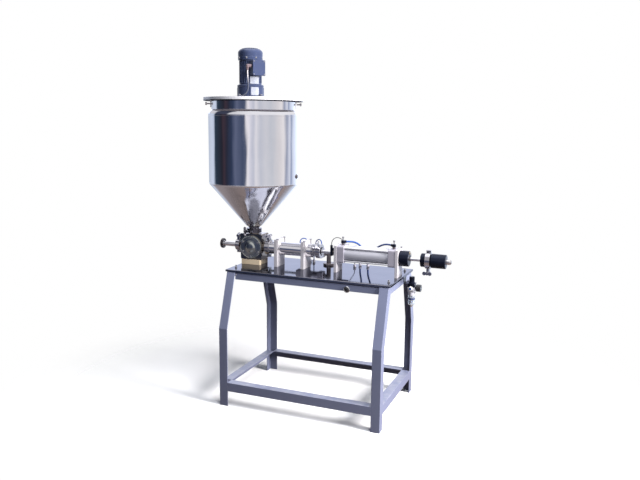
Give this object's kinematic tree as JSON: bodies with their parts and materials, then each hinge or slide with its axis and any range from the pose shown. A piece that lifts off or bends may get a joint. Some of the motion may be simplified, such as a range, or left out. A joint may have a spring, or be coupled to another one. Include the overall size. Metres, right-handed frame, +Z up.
{
  "type": "filling machine",
  "caption": "Floor-standing paste filling machine: stirred, jacketed hopper over a turning valve, with a product cylinder and an air cylinder in line on a steel table frame.",
  "frame": {"origin": "middle of the machine's footprint box, on the floor", "axes": "+Z up, +X towards the stroke adjuster, -Y towards the operator"},
  "size_m": [1.437, 0.646, 1.984],
  "materials": {
    "frame_paint": "semi-gloss blue-grey enamel",
    "table_steel": "mirror-polished sheet",
    "hopper_steel": "mirror-polished sheet",
    "lid_steel": "satin sheet",
    "stirrer_steel": "satin welded bar",
    "valve_chrome": "polished, dark reflections",
    "barrel_chrome": "polished",
    "clamp_steel": "satin casting",
    "wing_grey": "moulded grips",
    "base_cream": "satin engineering plastic",
    "satin_aluminium": "satin plate",
    "cap_aluminium": "grey anodised",
    "barrel_aluminium": "drawn tube",
    "rod_chrome": "ground rod",
    "screw_steel": "plain",
    "post_steel": "dark",
    "black_plastic": "fine grain",
    "seal_white": "smooth",
    "motor_paint": "semi-gloss dark blue-grey",
    "rotor_steel": "laminated",
    "tube_blue": "flexible tube",
    "lead_black": "flexible",
    "lead_grey": "flexible",
    "fitting_brass": "nickel plated",
    "bowl_clear": "clear moulding",
    "gauge_black": "moulded case",
    "needle_red": "matt",
    "button_ring": "plated ring",
    "button_black": "moulded"
  },
  "bodies": {
    "frame": {"frame_legs": "frame_paint", "upper_rails": "frame_paint", "lower_rails": "frame_paint", "table_top": "table_steel", "hopper_vessel": "hopper_steel", "hopper_jacket": "hopper_steel", "valve_body": "valve_chrome", "valve_covers": "valve_chrome", "discharge_spout": "valve_chrome", "product_barrel": "barrel_chrome", "rear_head": "barrel_chrome", "pipe_clamps": "clamp_steel", "wing_nuts": "wing_grey", "valve_base": "base_cream", "cylinder_saddles": "satin_aluminium", "drive_supports": "satin_aluminium", "drive_caps": "cap_aluminium", "actuator_cylinder": "cap_aluminium", "regulator_body": "cap_aluminium", "drive_barrel": "barrel_aluminium", "tie_rods": "rod_chrome", "machine_screws": "screw_steel", "actuator_post": "post_steel", "stop_bumper": "black_plastic", "trip_sensor": "black_plastic", "flow_controls": "black_plastic", "air_tube_front": "tube_blue", "air_tube_rear": "tube_blue", "actuator_tube_left": "tube_blue", "actuator_tube_right": "tube_blue", "sensor_lead": "lead_black", "air_fittings": "fitting_brass", "filter_bowl": "bowl_clear", "gauge_case": "gauge_black", "button_bezel": "button_ring"},
    "piston_train": {"product_piston": "seal_white", "drive_piston": "cap_aluminium", "piston_rods": "rod_chrome", "rod_coupling": "rod_chrome"},
    "adjuster_collar": {"stop_collar": "black_plastic", "adjuster_clamp": "clamp_steel"},
    "adjuster_sleeve": {"adjuster_sleeve": "black_plastic"},
    "valve_turning": {"valve_core": "barrel_chrome", "valve_crank": "clamp_steel"},
    "actuator": {"actuator_rod": "rod_chrome"},
    "lid": {"lid": "lid_steel", "lid_screws": "screw_steel", "gear_housing": "motor_paint", "motor_housing": "motor_paint", "fan_cover": "motor_paint", "terminal_box": "motor_paint", "cable_gland": "black_plastic", "motor_lead": "lead_grey", "lead_coil": "lead_grey", "lead_plug": "black_plastic"},
    "agitator": {"agitator": "stirrer_steel"},
    "motor_rotor": {"motor_rotor": "rotor_steel"},
    "start_button": {"start_button": "button_black"},
    "regulator_knob": {"regulator_knob": "black_plastic"},
    "gauge_needle": {"gauge_needle": "needle_red"}
  },
  "joints": [
    {"name": "piston_stroke", "type": "slide", "parent": "frame", "child": "piston_train", "axis": [-1, 0, 0], "range_m": [0, 0.048]},
    {"name": "adjuster_travel", "type": "slide", "parent": "piston_train", "child": "adjuster_collar", "axis": [1, 0, 0], "range_m": [-0.0121, 0.0121]},
    {"name": "adjuster_turn", "type": "hinge", "parent": "adjuster_collar", "child": "adjuster_sleeve", "pos_m": [0.5955, 0, 0.866], "axis": [1, 0, 0], "range_deg": [-1080, 1080]},
    {"name": "valve_turn", "type": "hinge", "parent": "frame", "child": "valve_turning", "pos_m": [-0.4385, 0, 0.866], "axis": [0, 1, 0], "range_deg": [0, 90]},
    {"name": "actuator_stroke", "type": "slide", "parent": "frame", "child": "actuator", "axis": [-1, 0, 0], "range_m": [0, 0.058]},
    {"name": "lid_lift", "type": "slide", "parent": "frame", "child": "lid", "axis": [0, 0, 1], "range_m": [0, 0.72]},
    {"name": "agitator_spin", "type": "hinge", "parent": "lid", "child": "agitator", "pos_m": [-0.4385, 0, 1.3], "axis": [0, 0, 1], "continuous": true},
    {"name": "rotor_spin", "type": "hinge", "parent": "lid", "child": "motor_rotor", "pos_m": [-0.4575, 0, 1.85], "axis": [0, 0, 1], "continuous": true},
    {"name": "start_button_press", "type": "slide", "parent": "frame", "child": "start_button", "axis": [0, 1, 0], "range_m": [0, 0.004], "stiffness_N_per_m": 400},
    {"name": "regulator_knob_turn", "type": "hinge", "parent": "frame", "child": "regulator_knob", "pos_m": [0.4885, 0.085, 0.74], "axis": [0, 0, 1], "range_deg": [-360, 360]},
    {"name": "gauge_needle_sweep", "type": "hinge", "parent": "frame", "child": "gauge_needle", "pos_m": [0.5355, 0.085, 0.69], "axis": [-1, 0, 0], "range_deg": [0, 270], "stiffness_Nm_per_rad": 0.002}
  ],
  "couplings": [
    {"joint": "adjuster_travel", "follows": "adjuster_turn", "m_per_rad": 0.00063662},
    {"joint": "actuator_stroke", "follows": "valve_turn", "m_per_rad": 0.0368},
    {"joint": "rotor_spin", "follows": "agitator_spin", "ratio": 25}
  ]
}
